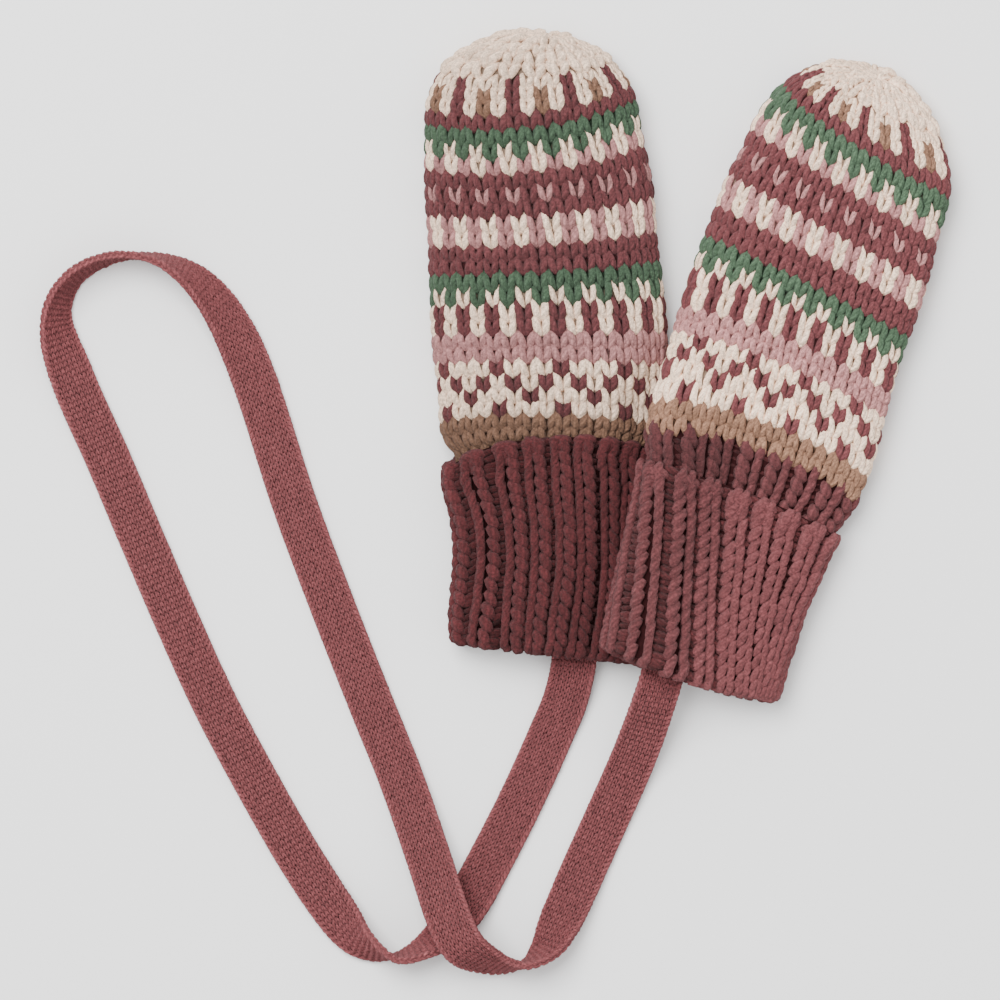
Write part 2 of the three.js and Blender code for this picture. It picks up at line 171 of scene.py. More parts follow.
RIGHT = {
    "name": "right",
    "x": 0.0,
    "y": -83.6,
    "lean": 15.7,
    "inside": np.array([
        (-6, 0.4, 20.3, 2.9, 8.0),
        (8, -0.1, 20.5, 2.8, 7.9),
        (23, -0.2, 21.1, 2.8, 7.9),
        (35, 0.2, 22.2, 2.8, 7.9),
        (45, 0.6, 23.4, 3.0, 7.9),
        (54, 1.6, 26.0, 3.8, 7.9),
        (60, 1.4, 28.1, 4.6, 7.9),
        (69, 1.4, 28.8, 5.6, 7.9),
        (86, 1.5, 28.3, 6.0, 8.1),
        (97, 1.5, 28.3, 6.0, 8.1),
        (109, 2.3, 28.5, 6.0, 8.1),
        (120, 3.0, 28.2, 6.0, 8.1),
        (132, 3.2, 27.5, 5.9, 8.0),
        (145, 4.3, 26.1, 5.7, 7.8),
        (174, 0.8, 22.3, 5.2, 5.6),
    ]),
    "cap_start": 145,
    "cap_rise": 25.4,
    "fold": (-0.7, -1.6, -2.0),
    "seam": (57.9, -3.3, 5.1),
    "brim": (49.5, -5.4, 2.1),
    "first": 1,
    "rows": np.array([
        (-1.2, 50.2, -3.0, 5.2),
        (0.8, 58.2, -3.3, 5.1),
        (2.8, 66.4, -4.2, 4.4),
        (4.8, 77.0, -7.4, 2.4),
        (6.8, 84.6, -7.2, 2.7),
        (8.8, 91.4, -7.4, 2.7),
        (10.8, 101.0, -10.4, 1.5),
        (14.8, 117.4, -12.6, 0.2),
        (19.8, 138.0, -15.3, -0.5),
        (23.8, 155.1, -16.0, -2.0),
        (26, 163.6, -16.0, -2.0),
    ]),
    "spread": 0.0,
    "ribs": np.array([
        (-0.6, -0.3, 0.15),
        (0.3, 0.42, 0.55),
        (1.35, 1.15, 0.95),
        (2.45, 1.91, 1.37),
        (3.5, 2.72, 1.96),
        (4.56, 3.61, 2.66),
        (5.71, 4.71, 3.71),
        (6.71, 5.87, 5.02),
        (8.0, 7.37, 6.77),
        (9.2, 8.85, 8.4),
    ]),
    "rope_side": 1,
    "bead": 0.5,
    "sweep": 0.45,
    "edge": 1.1,
    "wales": np.array([
        (0, 6.2), (3, 6.7), (6, 7.0), (9.5, 6.8), (15, 5.2), (20, 5.4), (24, 5.8), (32, 6.0),
    ]),
    "pole": (0.14, 0.88, 0.43),
    "light": (1.56, 1.3),
    "cuff_yarn": "light_rose",
    "dim": 0.34,
    "seed": 23,
}

# Where the right mitten lies on the left: y, the x of the left one's edge, the width that
# is covered, the share by which that edge is pressed flat, and the right one's lift.
MEETING = np.array([
    (-92, -10.0, 16.0, 0.3, 10.4),
    (-77, -9.9, 14.0, 0.3, 10.4),
    (-52, -9.9, 9.5, 0.3, 10.4),
    (-32, -8.5, 6.0, 0.32, 10.6),
    (-18, -5.2, 6.0, 0.38, 9.6),
    (-9, -4.2, 5.7, 0.42, 7.4),
    (-1, -4.2, 3.5, 0.38, 5.0),
    (6, -4.4, 1.5, 0.26, 2.4),
    (13, -4.8, 0.0, 0.1, 0.5),
    (20, -5.5, 0.0, 0.0, 0.0),
])

# The cord's route: x, y, its turn about its own line in degrees, and how high it is carried.
ROUTE = np.array([
    (-31.2, -64.9, -6, 4.3),
    (-31.0, -71.6, -6, 4.4),
    (-30.9, -79.6, -5, 4.4),
    (-33.2, -90.3, 0, 1.2),
    (-37.7, -101.1, 0, 0.1),
    (-42.5, -111.9, 0, 0),
    (-47.7, -122.7, 0, 0),
    (-53.3, -133.5, 0, 0),
    (-59.0, -144.0, 9, 0),
    (-65.0, -152.2, 38, 0),
    (-71.6, -157.2, 66, 0),
    (-79.2, -159.9, 88, 0),
    (-87.6, -156.4, 128, 0),
    (-94.0, -149.7, 158, 0),
    (-104.9, -133.5, 180, 0),
    (-117.3, -111.9, 180, 0),
    (-128.7, -90.3, 180, 0),
    (-138.5, -68.7, 180, 0),
    (-147.8, -47.1, 180, 0),
    (-156.9, -25.5, 181, 0),
    (-166.4, -3.9, 194, 0),
    (-170.9, 12.0, 232, 0),
    (-166.7, 23.2, 252, 0),
    (-155.8, 29.2, 264, 0),
    (-143.4, 28.8, 280, 0),
    (-132.7, 22.8, 308, 0),
    (-124.3, 11.8, 330, 0),
    (-117.0, -5.0, 352, 0),
    (-107.0, -36.0, 360, 0),
    (-96.9, -63.3, 360, 0),
    (-86.3, -90.3, 360, 0),
    (-77.6, -111.9, 360, 0.6),
    (-70.0, -133.5, 360, 6.2),
    (-65.2, -147.8, 361, 12.2),
    (-60.7, -156.6, 380, 12.4),
    (-53.8, -161.2, 416, 3.4),
    (-45.6, -162.2, 446, 0),
    (-38.6, -157.6, 484, 0),
    (-34.3, -149.7, 516, 0),
    (-27.0, -133.5, 538, 0),
    (-17.3, -111.9, 541, 1.4),
    (-13.0, -101.1, 548, 5.6),
    (-9.3, -90.3, 557, 10.6),
    (-7.2, -83.2, 561, 12.2),
    (-5.2, -75.8, 568, 10.6),
    (-3.6, -69.9, 572, 9.4),
])

# The bands, one word a course from the seam up, for four wales from left to right:
# T tan, R rose, C cream, P pink and G green. A small letter is a stitch drawn in by its float.
CHART = (
    "TTTT", "TTTT", "TTTT",
    "RCCC", "CCRC", "CRCR", "RCCC",
    "PPPP", "PPPP",
    "RCRC", "RCRC",
    "cGcG", "GGGG",
    "RRRR", "RRRR",
    "CPCP", "CPCP",
    "RRRR", "pRpR", "RRRR",
    "CPCP", "cGcG", "GGGG",
    "RRRR",
    "CTCR", "CTCR", "CCCR",
    "CCCC", "CCCC", "CCCC", "CCCC", "CCCC",
)
REPEAT = 4
YARN_NAMES = {"T": "tan", "R": "rose", "C": "cream", "P": "pink", "G": "green"}
# The crown's decreases: from each course on, how many wales have become one.
DECREASES = ((0, 1), (27, 2), (30, 4))
CROWN_COURSE = 24
CROWN_RUN = 31.5
POLE_POWER = 2.2

# One leg of a plain stitch, from its tip in front of the stitch below to its top behind
# the one above: across in wales, up in courses, height in mm and share of the thickness.
LEG_UP = (-0.38, -0.14, 0.16, 0.47, 0.78, 1.05, 1.27)
LEG_LEFT = (0.03, -0.08, -0.20, -0.29, -0.36, -0.40, -0.41)
LEG_RIGHT = (0.12, 0.20, 0.27, 0.32, 0.36, 0.38, 0.38)
LEG_HEIGHT = (0.1, 0.72, 1.05, 1.05, 0.72, 0.15, -0.6)
LEG_GIRTH = (0.3, 0.76, 0.98, 1.0, 0.92, 0.76, 0.5)

# The two legs of a rib stitch from bottom to top, the plump rope and the straight ridge: their
# leans in rib widths, heights and girths. Last, the girths of the purl bars between ribs.
ROPE_LEAN = 2.6 * np.array([0.06, 0.04, 0.0, -0.03, -0.05, -0.06])
ROPE_HEIGHT = np.array([-0.8, -0.05, 0.28, 0.26, -0.1, -1.0])
ROPE_GIRTH = np.array([0.45, 0.88, 1.0, 1.0, 0.84, 0.4])
RIDGE_LEAN = np.array([0.015, 0.01, 0.0, -0.0075, -0.0125, -0.015])
RIDGE_HEIGHT = np.array([-0.4, 0.0, 0.14, 0.14, 0.0, -0.5])
RIDGE_GIRTH = np.array([0.62, 0.93, 1.0, 1.0, 0.93, 0.58])
PURL_GIRTH = np.array([0.6, 0.9, 1.0, 1.0, 0.9, 0.6])

# The section of the cord's tape behind its stitches: across and out.
TAPE_SECTION = (
    (5.5, -0.3), (5.5, 0.3), (4.95, 0.42), (-4.95, 0.42),
    (-5.5, 0.3), (-5.5, -0.3), (-4.95, -0.42), (4.95, -0.42),
)


def linear(code):
    """The linear colour of an sRGB hex value."""
    parts = [int(code[i:i + 2], 16) / 255 for i in (1, 3, 5)]
    return [c / 12.92 if c <= 0.04045 else ((c + 0.055) / 1.055) ** 2.4 for c in parts]


def shaded_red(colour, share):
    """A rose as it looks deep between stitches, where the light comes off wool and is redder."""
    return np.array(colour[:3]) * np.array((1.0, 0.8, 0.81)) * share


def smooth(share):
    t = np.clip(share, 0, 1)
    return t * t * (3 - 2 * t)


def column(table, at, which):
    """A table column at any place, on the same smooth curve as the solids follow."""
    keys = table[:, 0]
    values = table[:, which]
    last = len(keys) - 1
    place = np.clip(at, keys[0], keys[last])
    i = np.clip(np.searchsorted(keys, place, side="left") - 1, 0, last - 1)
    after = np.minimum(np.arange(last + 1) + 1, last)
    before = np.maximum(np.arange(last + 1) - 1, 0)
    slopes = (values[after] - values[before]) / (keys[after] - keys[before])
    span = keys[i + 1] - keys[i]
    t = (place - keys[i]) / span
    value = values[i] * (1 + 2 * t) * (1 - t) ** 2 + values[i + 1] * t * t * (3 - 2 * t)
    return value + span * (slopes[i] * t * (1 - t) ** 2 - slopes[i + 1] * t * t * (1 - t))


def section(angle):
    """Where an angle falls on a mitten's section: across, height, and how near the middle."""
    c = np.cos(angle)
    s = np.sin(angle)
    power = np.where(s >= 0, 2 / ROUNDNESS_ABOVE, 2 / ROUNDNESS_BELOW)
    return np.sign(c) * np.abs(c) ** power, np.sign(s) * np.abs(s) ** power, s * s


RIM_ANGLES = np.linspace(0, 2 * math.pi, 1441)
RIM_ACROSS, RIM_HEIGHT = section(RIM_ANGLES)[:2]
RIM_LENGTHS = np.concatenate([[0], np.cumsum(np.hypot(
    np.diff(RIM_ACROSS) * NOMINAL_HALF_WIDTH,
    np.diff(RIM_HEIGHT) * NOMINAL_HALF_DEPTH,
))])


def angle_at(share):
    """The angle that a share of the way round comes to, from the right edge over the top."""
    wanted = (share - np.floor(share)) * RIM_LENGTHS[-1]
    return np.interp(wanted, RIM_LENGTHS, RIM_ANGLES)


def row_at(row, angle):
    """How far up a knitted row runs at an angle."""
    across, _, middle = section(angle)
    return row[0] + math.tan(math.radians(row[1])) * NOMINAL_HALF_WIDTH * across + row[2] * middle


def world_of(mitten, u, v):
    lean = math.radians(mitten["lean"])
    x = mitten["x"] + u * math.cos(lean) + v * math.sin(lean)
    y = mitten["y"] - u * math.sin(lean) + v * math.cos(lean)
    return x, y


def wall_point(mitten, angle, up, out, lowest=0.0):
    """A point of a mitten in millimetres, which lies no lower than lowest."""
    across, height, _ = section(angle)
    inside = mitten["inside"]
    above = np.maximum(0, up - mitten["cap_start"]) / (mitten["cap_rise"] + out)
    cap = np.sqrt(np.maximum(0, 1 - above * above))
    u = column(inside, up, 1) + (column(inside, up, 2) + out) * cap * across
    z = column(inside, up, 4) + (column(inside, up, 3) + out) * cap * height
    z = np.maximum(z, lowest)
    x, y = world_of(mitten, u, up)
    inward = column(MEETING, y, 1) - x
    if mitten["name"] == "left":
        share = 1 - smooth((inward - column(MEETING, y, 2)) / PRESS_RUN)
        z = z * (1 - column(MEETING, y, 3) * share)
    else:
        z = z + column(MEETING, y, 4) * (1 - smooth((-inward - LIFT_START) / LIFT_RUN))
    return np.stack([x, y, z], -1)


def unit(vectors):
    return vectors / np.maximum(np.linalg.norm(vectors, axis=-1, keepdims=True), 1e-9)


# The crown's stitches share out the arc from the cap's start to the gather at its pole, as
# on a dome of the cap's rise and of the mean of its half width and half depth.
CROWN_RISE = 24.5
CROWN_HALF = 15.0
CROWN_ANGLES = np.radians(np.linspace(0, 90, 91))
CROWN_ARC = np.concatenate([[0], np.cumsum(np.hypot(
    CROWN_RISE * np.diff(np.sin(CROWN_ANGLES)),
    CROWN_HALF * np.diff(np.cos(CROWN_ANGLES)),
))])


def course_up(mitten, course, angle):
    """How far up a course runs, and for the crown how far it has gone to the pole, 0 to 1."""
    across, _, middle = section(angle)
    rows = mitten["rows"]
    flat = np.minimum(course, CROWN_COURSE)
    tilt = np.tan(np.radians(column(rows, flat, 2))) * NOMINAL_HALF_WIDTH
    up = column(rows, flat, 1) + tilt * across + column(rows, flat, 3) * middle
    past = up - mitten["cap_start"]
    share = np.maximum(0, past) / CROWN_RUN
    closed = np.maximum(0, course - CROWN_COURSE) / (len(CHART) - CROWN_COURSE)
    crowned = mitten["cap_start"] + np.minimum(past, 0) * (1 - closed)
    up = np.where(course > CROWN_COURSE, crowned, up)
    return up, np.clip(share + (1 - share) * closed, 0, 1)


def toward_pole(mitten, angle, theta):
    """Turns a direction of the cap towards the gather, more the nearer it is to the tip."""
    pole = np.array(mitten["pole"])
    pole = pole / np.linalg.norm(pole)
    axis = np.cross((0, 1, 0), pole)
    full = math.atan2(np.linalg.norm(axis), pole[1])
    axis = axis / max(np.linalg.norm(axis), 1e-9)
    d = np.stack([np.cos(angle) * np.cos(theta), np.sin(theta), np.sin(angle) * np.cos(theta)], -1)
    turn = (full * (theta / (math.pi / 2)) ** POLE_POWER)[..., None]
    along = (d @ axis)[..., None] * axis
    turned = along + (d - along) * np.cos(turn) + np.cross(axis, d) * np.sin(turn)
    flat = np.hypot(turned[..., 0], turned[..., 2])
    return np.arctan2(turned[..., 2], turned[..., 0]), np.arctan2(turned[..., 1], flat)


def hand_point(mitten, share, course, out, lowest=0.0):
    """A point of a hand by its place round it and its course."""
    angle = angle_at(share)
    up, closed = course_up(mitten, course, angle)
    theta = np.interp(closed * CROWN_ARC[-1], CROWN_ARC, CROWN_ANGLES)
    turned, lifted = toward_pole(mitten, angle, theta)
    crowned = mitten["cap_start"] + (mitten["cap_rise"] + out) * np.sin(lifted)
    on_cap = closed > 1e-6
    angle = np.where(on_cap, turned, angle)
    up = np.where(on_cap, crowned, up)
    return wall_point(mitten, angle, up, out, lowest)


def cuff_point(mitten, share, run, height, lowest=0.0):
    """A point of a cuff by how far its row is from the brim, down, round the fold and up inside."""
    angle = angle_at(share)
    outside, round_fold, _ = cuff_lengths(mitten, share)
    phi = np.clip((run - outside) / FOLD_RADIUS, 0, math.pi)
    past = np.maximum(run - outside - round_fold, 0)
    before = np.maximum(outside - run, 0)
    middle = row_at(mitten["fold"], angle) + FOLD_RADIUS
    up = middle + before + past - (FOLD_RADIUS + height) * np.sin(phi)
    out = FOLD_RADIUS + (FOLD_RADIUS + height) * np.cos(phi)
    return wall_point(mitten, angle, up, out, lowest)


def rib_places(mitten, ribs):
    """Where round a cuff each rib runs, in rib widths: at the brim, half way down and at the fold."""
    seen = mitten["ribs"]
    hidden = ribs - len(seen) + 1
    step = (seen[0] + ribs - seen[-1]) / hidden
    return np.vstack([seen, seen[-1] + np.arange(1, hidden)[:, None] * step])


def part_way(three, down):
    """The value part of the way down from its values at the brim, half way and the fold."""
    t = np.clip(down, 0, 1)
    return three[0] * (1 - t) * (1 - 2 * t) + 4 * three[1] * t * (1 - t) + three[2] * t * (2 * t - 1)


def cuff_lengths(mitten, share):
    """The runs from the brim to the fold, round it, and on to the seam."""
    angle = angle_at(share)
    middle = row_at(mitten["fold"], angle) + FOLD_RADIUS
    brim = row_at(mitten["brim"], angle)
    return brim - middle, math.pi * FOLD_RADIUS, row_at(mitten["seam"], angle) - middle


def quad_corners(spans, round_):
    """The ring of each quad's four corners, and their place round it."""
    ring, k = np.meshgrid(np.arange(spans), np.arange(round_), indexing="ij")
    corners = [(ring, k), (ring, k + 1), (ring + 1, k + 1), (ring + 1, k)]
    return [np.stack(part, -1).reshape(-1) for part in zip(*corners)]


def mesh_piece(name, points, loops, starts, finish, maps, values):
    """A smooth piece from its points in mm, its faces' corners and each face's first corner."""
    placed = points * MM
    placed[:, 2] = np.maximum(placed[:, 2], 0)
    mesh = bpy.data.meshes.new(name)
    mesh.vertices.add(len(placed))
    mesh.vertices.foreach_set("co", placed.astype(np.float32).ravel())
    mesh.loops.add(len(loops))
    mesh.loops.foreach_set("vertex_index", loops.astype(np.int32))
    mesh.polygons.add(len(starts))
    mesh.polygons.foreach_set("loop_start", starts.astype(np.int32))
    mesh.update(calc_edges=True)
    mesh.polygons.foreach_set("use_smooth", np.ones(len(starts), bool))
    for label, places in maps.items():
        layer = mesh.uv_layers.new(name=label)
        layer.uv.foreach_set("vector", places.astype(np.float32).ravel())
    for label, numbers in values.items():
        if numbers.ndim == 1:
            attribute = mesh.attributes.new(label, "FLOAT", "POINT")
            attribute.data.foreach_set("value", numbers.astype(np.float32))
        else:
            attribute = mesh.color_attributes.new(label, "FLOAT_COLOR", "POINT")
            attribute.data.foreach_set("color", numbers.astype(np.float32).ravel())
    mesh.materials.append(finish)
    piece = bpy.data.objects.new(name, mesh)
    bpy.context.scene.collection.objects.link(piece)
    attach(piece, "root")
    return piece


def strand_piece(name, parts, sides, tones, pitch, finish):
    """Rounded strands of yarn, from parts that each hold middle lines, ways out and radii.

    Tones say how light each strand is, and pitch is the length in which its plies turn once."""
    centres, normals, girths = (np.concatenate(part) for part in zip(*parts))
    count, rings = centres.shape[:2]
    ahead = unit(np.gradient(centres, axis=1))
    side = unit(np.cross(ahead, normals))
    rise = np.cross(side, ahead)
    turn = np.arange(sides) * 2 * math.pi / sides
    spread = side[:, :, None] * np.cos(turn)[:, None] + rise[:, :, None] * np.sin(turn)[:, None]
    points = centres[:, :, None] + girths[:, :, None, None] * spread
    steps = np.linalg.norm(np.diff(centres, axis=1), axis=-1)
    lengths = np.concatenate([np.zeros((count, 1)), np.cumsum(steps, axis=1)], axis=1)
    rows, turns = quad_corners(rings - 1, sides)
    first = np.arange(sides)[::-1]
    last = (rings - 1) * sides + np.arange(sides)
    each = np.concatenate([rows * sides + turns % sides, first, last])
    size = rings * sides
    loops = (np.arange(count)[:, None] * size + each).reshape(-1)
    quads = (rings - 1) * sides
    caps = (4 * quads, 4 * quads + sides)
    local = np.concatenate([np.arange(quads) * 4, caps])
    starts = (np.arange(count)[:, None] * len(each) + local).reshape(-1)
    rows = np.concatenate([rows, np.zeros(sides, int), np.full(sides, rings - 1)])
    turns = np.concatenate([turns, first, np.arange(sides)])
    along = lengths[:, rows] / pitch
    twist = np.stack([along + turns / sides, along], -1).reshape(-1, 2)
    # For the bake each strand has a cell of its own: its side unrolled, and its two ends above.
    grid = math.ceil(math.sqrt(count))
    cell_x = (np.arange(count) % grid)[:, None]
    cell_y = (np.arange(count) // grid)[:, None]
    place_x = 0.04 + 0.92 * turns / sides
    place_y = 0.04 + 0.78 * rows / (rings - 1)
    for start, middle in zip(caps, (0.3, 0.7)):
        where = np.arange(start, start + sides)
        place_x[where] = middle + 0.06 * np.cos(turn)
        place_y[where] = 0.91 + 0.06 * np.sin(turn)
    atlas = np.stack([(cell_x + place_x) / grid, (cell_y + place_y) / grid], -1).reshape(-1, 2)
    return mesh_piece(
        name, points.reshape(-1, 3), loops, starts, finish,
        {"yarn": twist, "OFBake": atlas}, {"tone": np.repeat(tones, size)},
    )


def shell_piece(name, points, closed, shades):
    """A cloth of rings that are each closed round; closed also joins the last ring to the first."""
    rings, round_ = points.shape[:2]
    spans = rings if closed else rings - 1
    rows, turns = quad_corners(spans, round_)
    loops = (rows % rings) * round_ + turns % round_
    starts = np.arange(spans * round_) * 4
    if not closed:
        ends = [np.arange(round_)[::-1], (rings - 1) * round_ + np.arange(round_)]
        starts = np.concatenate([starts, [len(loops), len(loops) + round_]])
        loops = np.concatenate([loops, *ends])
    # The shades that a cloth is given are painted shade, darker than its yarns.
    finish = material("wool_knitted_inside", wool_cloth)
    return mesh_piece(name, points.reshape(-1, 3), loops, starts, finish, {}, {"shade": shades})


def add(tree, kind, settings=(), values=(), links=()):
    """Adds a shader node, with its settings, its sockets' values, and links from other outputs."""
    node = tree.nodes.new("ShaderNode" + kind)
    for label, value in dict(settings).items():
        setattr(node, label, value)
    for label, value in dict(values).items():
        node.inputs[label].default_value = value
    for label, output in dict(links).items():
        tree.links.new(output, node.inputs[label])
    return node


def material(name, build, *values):
    """The material of a name, whose shader is built the first time that it is asked for."""
    made = bpy.data.materials.get(name)
    if not made:
        made = bpy.data.materials.new(name)
        made.use_nodes = True
        tree = made.node_tree
        tree.nodes.clear()
        shader = build(tree, *values)
        add(tree, "OutputMaterial", links={"Surface": shader.outputs["BSDF"]})
    return made


def wool_yarn(tree, colour, fibre_mm, depth_mm):
    """Wool, carded, spun and plied soft, then knitted."""
    # The map goes once across for a turn round the strand, and once up for each turn of its plies.
    yarn = add(tree, "UVMap", {"uv_map": "yarn"})
    # Carded fibres wind round the strand with the plies, so each stitch shows fine streaks
    # along it. They are finer than a pixel, so nine are drawn to a turn.
    wound = add(
        tree, "VectorMath", {"operation": "MULTIPLY"}, {1: (9.0, 3.0, 1.0)}, {0: yarn.outputs["UV"]},
    )
    streaks = add(
        tree, "TexNoise", {"noise_dimensions": "2D"},
        {"Scale": 1.0, "Detail": 2.0, "Roughness": 0.6, "Distortion": 0.6},
        {"Vector": wound.outputs["Vector"]},
    )
    # Crimped fibres stand off the strand, which breaks its surface into a soft mottle. They too
    # are drawn coarser, at fibre_mm.
    place = add(tree, "TexCoord")
    fibres = add(
        tree, "TexNoise", {},
        {"Scale": 1 / (fibre_mm * MM), "Detail": 4.0, "Roughness": 0.7, "Distortion": 0.5},
        {"Vector": place.outputs["Object"]},
    )
    # Dyed wool is a little uneven along the yarn, so no two stitches are quite alike. The same
    # value also carries painted light and shade: darker purl bars, left ribs and inner layers, and
    # lighter or darker hands.
    tone = add(tree, "Attribute", {"attribute_name": "tone"})
    light = tone.outputs["Fac"]
    for pattern, low, high, dark, bright in (
        (streaks, 0.33, 0.67, 0.8, 1.18),
        (fibres, 0.34, 0.66, 0.58, 1.4),
    ):
        spread = add(
            tree, "MapRange", {},
            {"From Min": low, "From Max": high, "To Min": dark, "To Max": bright},
            {"Value": pattern.outputs["Fac"]},
        )
        product = add(
            tree, "Math", {"operation": "MULTIPLY"}, {}, {0: light, 1: spread.outputs["Result"]},
        )
        light = product.outputs["Value"]
    dyed = add(tree, "VectorMath", {"operation": "SCALE"}, {0: colour[:3]}, {"Scale": light})
    raised = add(
        tree, "Math", {"operation": "MULTIPLY_ADD"}, {1: 0.4},
        {0: streaks.outputs["Fac"], 2: fibres.outputs["Fac"]},
    )
    bump = add(
        tree, "Bump", {}, {"Strength": 1.0, "Distance": depth_mm * MM},
        {"Height": raised.outputs["Value"]},
    )
    # The nap scatters light back a little at the edges, in the wool's own colour.
    return add(
        tree, "BsdfPrincipled", {},
        {
            "Roughness": 0.95, "IOR": 1.45, "Specular IOR Level": 0.12,
            "Sheen Weight": 0.12, "Sheen Roughness": 0.6,
            "Sheen Tint": (*(0.4 + 0.6 * c for c in colour[:3]), 1),
        },
        {"Base Color": dyed.outputs["Vector"], "Normal": bump.outputs["Normal"]},
    )


def wool_cloth(tree):
    """The knitted cloth behind the stitches' front legs, in their colours darkened as painted shade."""
    shade = add(tree, "Attribute", {"attribute_name": "shade"})
    place = add(tree, "TexCoord")
    # Loops of wool every couple of millimetres make it uneven where it shows.
    loops = add(
        tree, "TexNoise", {}, {"Scale": 1 / (1.6 * MM), "Detail": 3.0},
        {"Vector": place.outputs["Object"]},
    )
    light = add(tree, "MapRange", {}, {"To Min": 0.6, "To Max": 1.3}, {"Value": loops.outputs["Fac"]})
    dyed = add(
        tree, "VectorMath", {"operation": "SCALE"}, {},
        {0: shade.outputs["Color"], "Scale": light.outputs["Result"]},
    )
    bump = add(
        tree, "Bump", {}, {"Strength": 0.6, "Distance": 0.4 * MM}, {"Height": loops.outputs["Fac"]},
    )
    return add(
        tree, "BsdfPrincipled", {}, {"Roughness": 0.95, "IOR": 1.45, "Specular IOR Level": 0.1},
        {"Base Color": dyed.outputs["Vector"], "Normal": bump.outputs["Normal"]},
    )


def painted_board(tree, colour):
    """Matt emulsion on board, rolled, as a photographer's table has."""
    place = add(tree, "TexCoord")
    # The roller leaves a faint orange peel, about 3 mm across.
    peel = add(
        tree, "TexNoise", {}, {"Scale": 1 / (3 * MM), "Detail": 2.0},
        {"Vector": place.outputs["Object"]},
    )
    bump = add(
        tree, "Bump", {}, {"Strength": 0.05, "Distance": 0.1 * MM}, {"Height": peel.outputs["Fac"]},
    )
    return add(
        tree, "BsdfPrincipled", {},
        {"Base Color": (*colour[:3], 1), "Roughness": 0.8, "IOR": 1.5, "Specular IOR Level": 0.1},
        {"Normal": bump.outputs["Normal"]},
    )


def colour_value(name, description, code):
    return bpy.props.FloatVectorProperty(
        name=name, description=description, default=linear(code),
        size=3, min=0, max=1, subtype="COLOR",
    )


def length_value(name, description, default, low, high):
    """A length that a user may set, here in millimetres."""
    return bpy.props.FloatProperty(
        name=name, description=description, default=default * MM, min=low * MM, max=high * MM,
        precision=5, unit="LENGTH",
    )


class YarnColours(bpy.types.PropertyGroup):
    """The dyed yarns."""

    rose: colour_value("Rose", "Dusty rose of the main bands", "#5e3335")
    # The cuffs are of one dusty rose: the left one's is painted darker and redder as painted shade, the
    # right one's lighter as painted light.
    deep_rose: colour_value("Deep rose", "Deep rose of the left cuff", "#4e2325")
    light_rose: colour_value("Light rose", "Lighter dusty rose of the right cuff", "#744143")
    cream: colour_value("Cream", "Undyed cream", "#ebcdb4")
    green: colour_value("Green", "Sage green of the two narrow bands", "#405340")
    pink: colour_value("Pink", "Pale pink of the dots and the wide band", "#a1716f")
    tan: colour_value("Tan", "Tan above the cuffs", "#795a48")
    cord: colour_value("Cord", "Dusty rose of the cord", "#743f41")


class HandSizes(bpy.types.PropertyGroup):
    """The stranded knitting of the hands."""

    wales: bpy.props.IntProperty(
        name="Stitches round", description="Stitches in one round of a hand", default=36, min=12, max=60,
    )
    yarn_radius: length_value("Yarn radius", "Half the thickness of one leg of a stitch", 1.06, 0.2, 3)
    datum: length_value("Stitch depth", "How far out of the inside surface the stitches start", 0.75, 0, 3)
    drawn_in: bpy.props.FloatProperty(
        name="Drawn in", description="Thickness of a single stitch of a colour against the others",
        default=0.76, min=0.3, max=1.2,
    )
    jitter: bpy.props.FloatProperty(
        name="Unevenness", description="How far stitches differ from each other, in stitches",
        default=0.035, min=0, max=0.2,
    )


class CuffSizes(bpy.types.PropertyGroup):
    """The rib of the cuffs."""

    ribs: bpy.props.IntProperty(
        name="Ribs round", description="Raised columns in one round of a cuff", default=18, min=6, max=40,
    )
    row: length_value("Row height", "How far one row of the rib rises", 3.45, 1, 10)
    rope_radius: length_value("Plump leg radius", "Half the thickness of a plump leg", 1.64, 0.2, 3)
    ridge_radius: length_value("Straight leg radius", "Half the thickness of a straight leg", 1.3, 0.2, 3)


class CordSizes(bpy.types.PropertyGroup):
    """The flat knitted cord."""

    wale: length_value("Stitch width", "Width of one stitch of the cord", 1.33, 0.5, 5)
    row: length_value("Row height", "Length of cord that one row takes", 1.6, 0.5, 6)
    yarn_radius: length_value("Yarn radius", "Half the thickness of one leg of a stitch", 0.38, 0.1, 2)


class StageSizes(bpy.types.PropertyGroup):
    """The table, the light and the camera."""

    floor: colour_value("Table", "The white table", "#f4f4f4")
    width: length_value("Picture width", "How much of the table the picture takes in", 270, 50, 2000)
    height: length_value("Camera height", "The camera's height above the table", 2400, 500, 10000)
    key: bpy.props.FloatProperty(
        name="Overhead light", description="Power of the softbox above the table",
        default=48, min=0, max=500, unit="POWER",
    )


def hand_stitches(mitten, sizes):
    """Each stitch's wale, course, width in wales, yarn letter and girth, over the whole hand."""
    found = []
    for course, line in enumerate(CHART):
        if course < mitten["first"]:
            continue
        group = [g for start, g in DECREASES if course >= start][-1]
        for wale in range(0, sizes.wales, group):
            letter = line[wale % REPEAT]
            girth = 1.0 if letter.isupper() else sizes.drawn_in
            found.append((wale + (group - 1) / 2, course, group, ord(letter.upper()), girth))
    return np.array(found)


def wale_share(mitten, course, wale, wales):
    """Where round the hand a wale is at a course, counted from the pattern's first wale."""
    even = -column(mitten["wales"], course, 1) / RIM_LENGTHS[-1] - wale / wales
    return 0.25 + even + mitten["spread"] / (4 * math.pi) * np.sin(4 * math.pi * even)


def yarn_lines(place, mitten, share, along, height, girths, reach):
    """Middle lines of yarn at a height on a hand or a cuff, the ways out there, and radii.

    The way out is taken between two surfaces, each at reach from the line."""
    centres = place(mitten, share, along, height, 0.9 * girths)
    outer = place(mitten, share, along, height + reach, NO_TABLE)
    inner = place(mitten, share, along, height - reach, NO_TABLE)
    return centres, unit(outer - inner), girths


